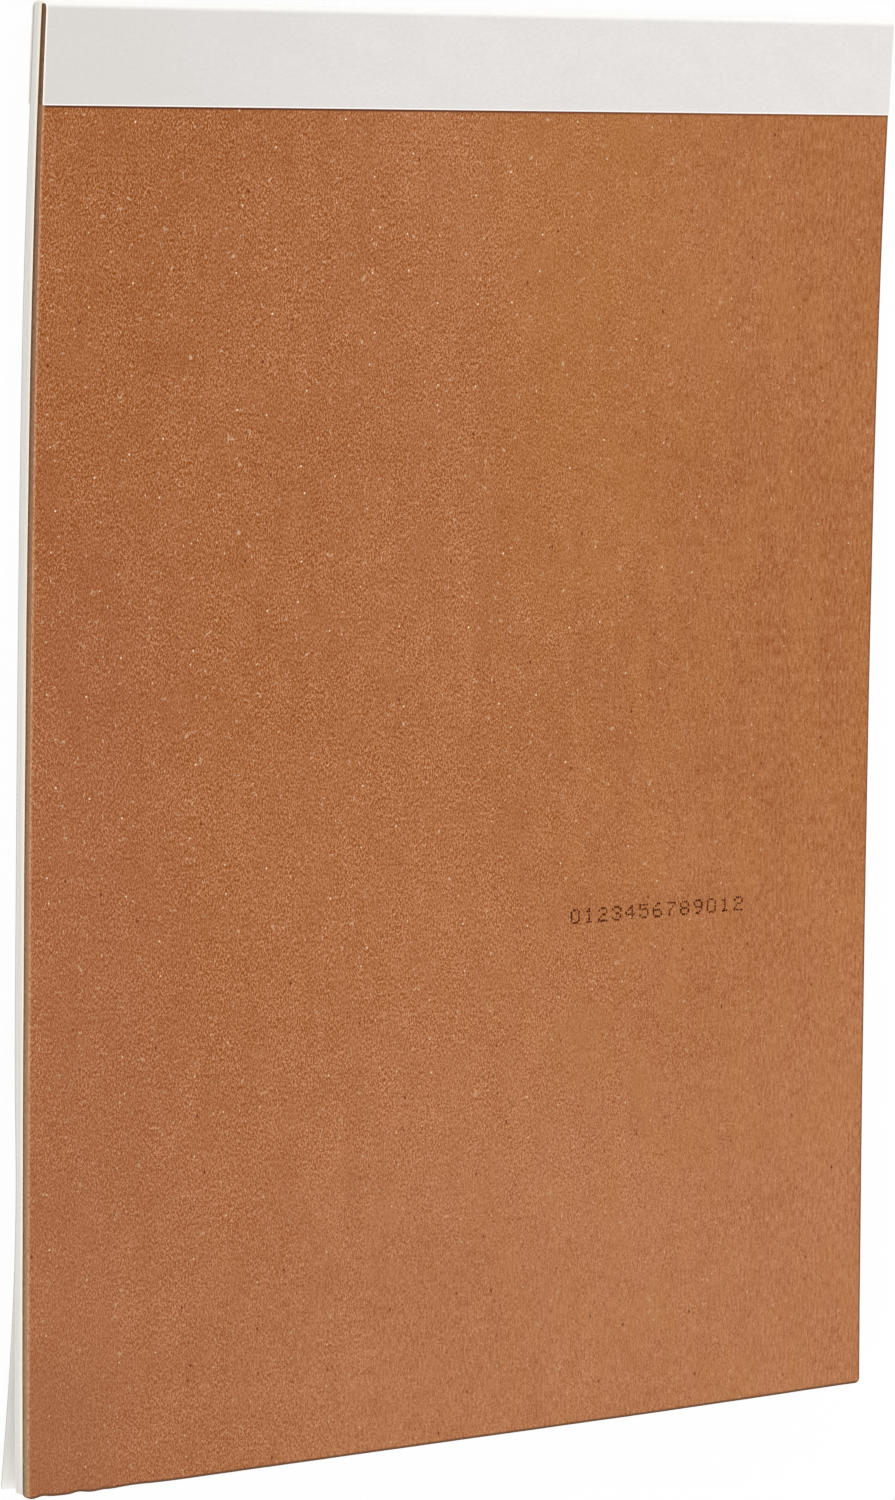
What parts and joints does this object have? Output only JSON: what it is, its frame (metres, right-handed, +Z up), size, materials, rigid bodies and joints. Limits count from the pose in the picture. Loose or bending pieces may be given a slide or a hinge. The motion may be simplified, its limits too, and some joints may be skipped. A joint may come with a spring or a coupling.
{
  "type": "canvas paper pad",
  "caption": "Artist's pad of canvas paper lying face down: bowed brown board back, bound white sheets, thin front cover sprung away at its foot, white tape over the head.",
  "frame": {"origin": "centre of the pad's outline, on the surface that it lies on", "axes": "+Y from the pad's foot to its taped head, +Z up out of the backing board, +X to the right as the board is seen from above"},
  "size_m": [0.229, 0.3056, 0.0096],
  "materials": {
    "grey_board": "matte",
    "canvas_paper": "matte",
    "cover_card": "matte",
    "padding_glue": "satin",
    "paper_tape": "matte"
  },
  "bodies": {
    "root": {"backing_board": "grey_board", "canvas_sheets": "canvas_paper", "front_cover": "cover_card", "spine_glue": "padding_glue", "binding_tape": "paper_tape"}
  },
  "joints": []
}
